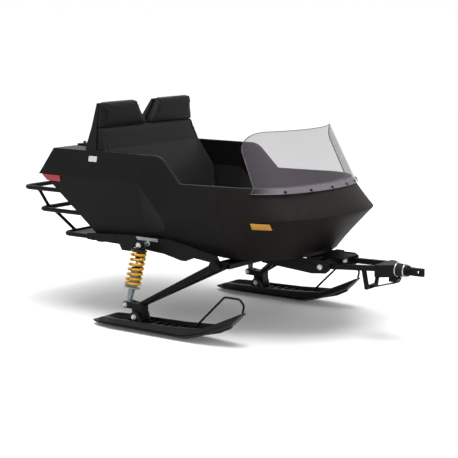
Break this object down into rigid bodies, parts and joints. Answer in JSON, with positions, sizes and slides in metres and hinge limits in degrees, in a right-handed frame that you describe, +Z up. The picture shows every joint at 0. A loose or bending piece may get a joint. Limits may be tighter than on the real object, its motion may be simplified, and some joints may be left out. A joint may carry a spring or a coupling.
{
  "type": "towed passenger sleigh",
  "caption": "Towed two-seat passenger sleigh: black tub on sprung skis with windscreen, padded bench, luggage rack and hinged tongue.",
  "frame": {"origin": "on the ground below the middle of the bounding box, on the centre plane", "axes": "+X forwards to the hitch, +Y to the left, +Z up"},
  "size_m": [2.342, 1.25, 1.155],
  "materials": {
    "hull_plastic": "satin, fine moulded grain",
    "clear_plastic": "clear polished sheet, lightly smoked",
    "upholstery": "semi-matt coated fabric over foam",
    "trim_plastic": "satin moulded",
    "mat_rubber": "ribbed matt",
    "bushing_rubber": "matt",
    "amber_lens": "prismatic lens",
    "red_lens": "prismatic lens",
    "yellow_paint": "semi-gloss powder coat",
    "grey_paint": "satin",
    "zinc_steel": "bright zinc plate",
    "ski_plastic": "semi-gloss moulded",
    "black_steel": "semi-gloss powder coat"
  },
  "bodies": {
    "sleigh": {"amber_reflectors": "amber_lens", "arm_pivot_tube": "black_steel", "backrest_pad": "upholstery", "beam_top_plate": "black_steel", "coil_springs": "yellow_paint", "footwell_mat": "mat_rubber", "frame_crossmembers": "black_steel", "frame_rails": "black_steel", "front_beams": "black_steel", "headrest_left": "upholstery", "headrest_right": "upholstery", "hull": "hull_plastic", "lid_hinges": "black_steel", "rack_hoop_lower": "black_steel", "rack_hoop_middle": "black_steel", "rack_hoop_upper": "black_steel", "rack_platform": "black_steel", "rack_struts": "black_steel", "red_reflectors": "red_lens", "seat_back_shell": "trim_plastic", "seat_cushion": "upholstery", "seat_riser": "trim_plastic", "shock_bodies": "grey_paint", "shock_bolts": "zinc_steel", "shock_rods": "zinc_steel", "ski_bracket_left": "black_steel", "ski_bracket_right": "black_steel", "tongue_pivot_bolts": "zinc_steel", "trailing_arm_left": "black_steel", "trailing_arm_right": "black_steel", "windscreen": "clear_plastic"},
    "lid": {"luggage_lid": "trim_plastic", "lid_latch": "trim_plastic"},
    "left_ski": {"ski_left": "ski_plastic", "ski_runner_left": "zinc_steel", "ski_bolt_left": "zinc_steel", "ski_loop_left": "black_steel"},
    "right_ski": {"ski_right": "ski_plastic", "ski_runner_right": "zinc_steel", "ski_bolt_right": "zinc_steel", "ski_loop_right": "black_steel"},
    "tongue": {"tongue_frame": "black_steel", "tongue_skid": "black_steel", "hitch_rings": "zinc_steel", "hitch_bushing": "bushing_rubber"},
    "hitch": {"hitch_shaft": "black_steel"}
  },
  "joints": [
    {"name": "luggage_lid_hinge", "type": "hinge", "parent": "sleigh", "child": "lid", "pos_m": [-0.678, 0, 0.9083], "axis": [0, 1, 0], "range_deg": [0, 85]},
    {"name": "left_ski_pitch", "type": "hinge", "parent": "sleigh", "child": "left_ski", "pos_m": [-0.186, 0.55, 0.076], "axis": [0, -1, 0], "range_deg": [-20, 20]},
    {"name": "right_ski_pitch", "type": "hinge", "parent": "sleigh", "child": "right_ski", "pos_m": [-0.186, -0.55, 0.076], "axis": [0, -1, 0], "range_deg": [-20, 20]},
    {"name": "tongue_pitch", "type": "hinge", "parent": "sleigh", "child": "tongue", "pos_m": [0.659, 0, 0.366], "axis": [0, -1, 0], "range_deg": [-40, 35]},
    {"name": "hitch_swivel", "type": "hinge", "parent": "tongue", "child": "hitch", "pos_m": [1.05, 0, 0.371], "axis": [1, 0, 0], "continuous": true}
  ]
}
